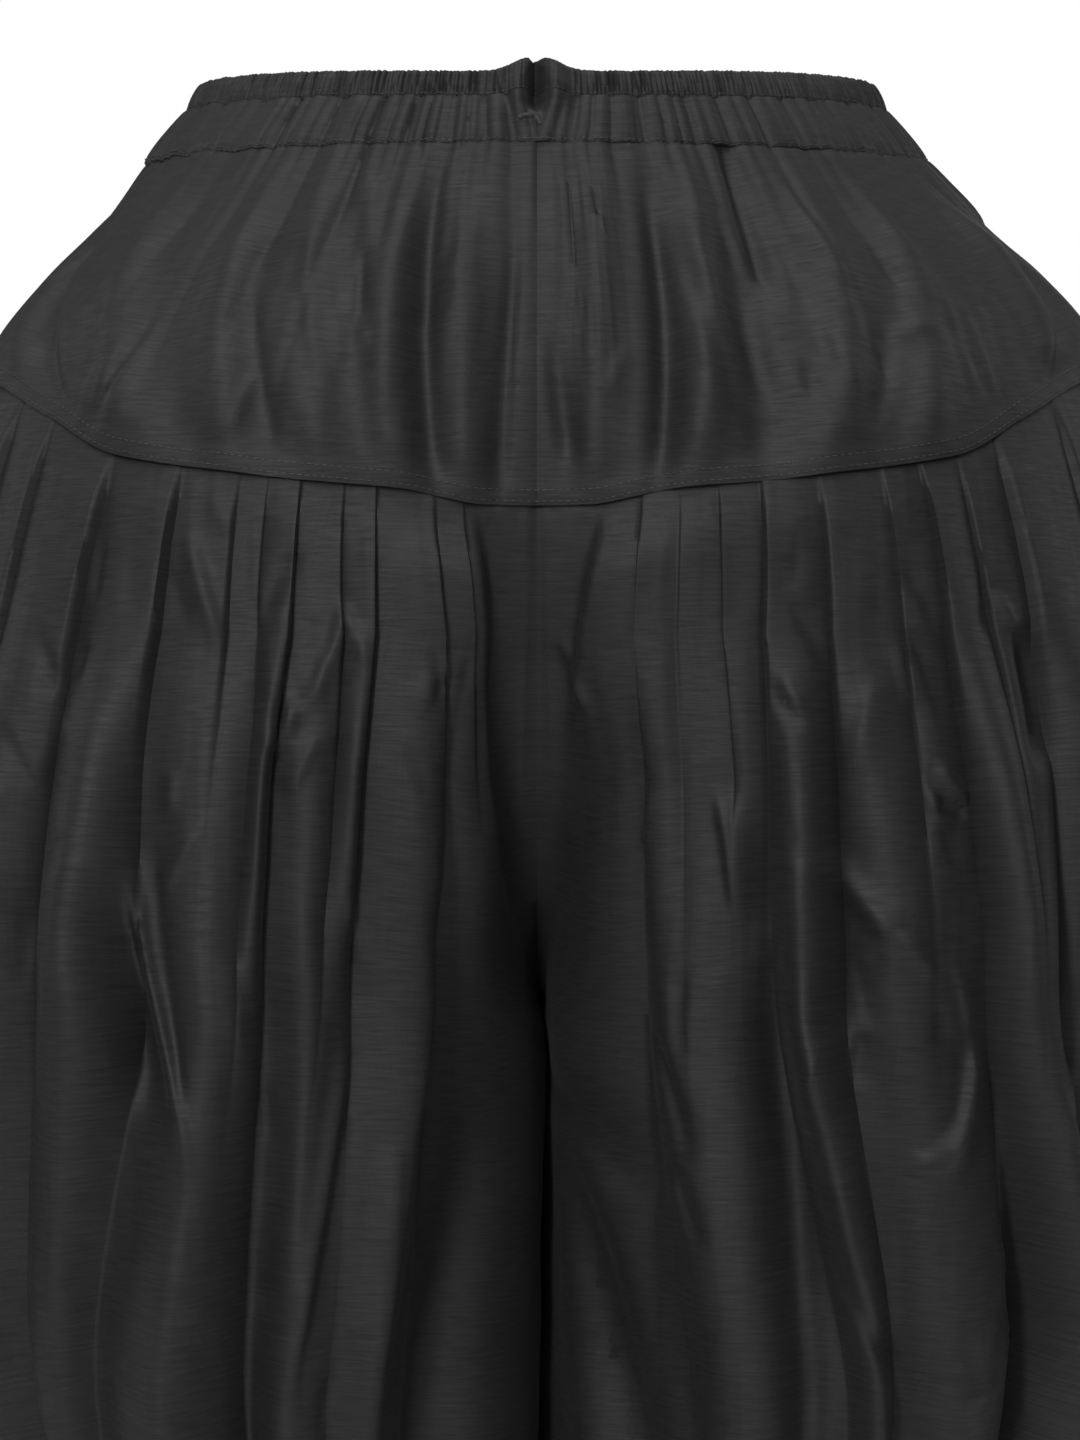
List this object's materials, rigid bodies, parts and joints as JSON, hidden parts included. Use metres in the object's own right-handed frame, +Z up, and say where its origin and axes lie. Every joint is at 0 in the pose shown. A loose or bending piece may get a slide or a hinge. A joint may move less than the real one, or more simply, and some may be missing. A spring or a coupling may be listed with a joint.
{
  "type": "salwar",
  "caption": "Black salwar trousers in their worn shape, with a gathered drawstring waist, a deep yoke and full pleated legs.",
  "frame": {"origin": "middle of the waist, level with the drawstring that holds the garment on its wearer", "axes": "+Z up, -Y towards the front of the garment, +X towards the wearer's left"},
  "size_m": [0.5717, 0.338, 0.9849],
  "materials": {
    "cloth": "black cotton silk with a fine slub weave and a soft sheen",
    "band_cloth": "the same black cloth, gathered and stitched over the elastic and the drawstring"
  },
  "bodies": {
    "root": {"waist_frill": "band_cloth", "drawstring_casing": "band_cloth", "yoke_right": "cloth", "yoke_left": "cloth", "leg_front_right": "cloth", "leg_front_left": "cloth", "leg_back_right": "cloth", "leg_back_left": "cloth"}
  },
  "joints": []
}
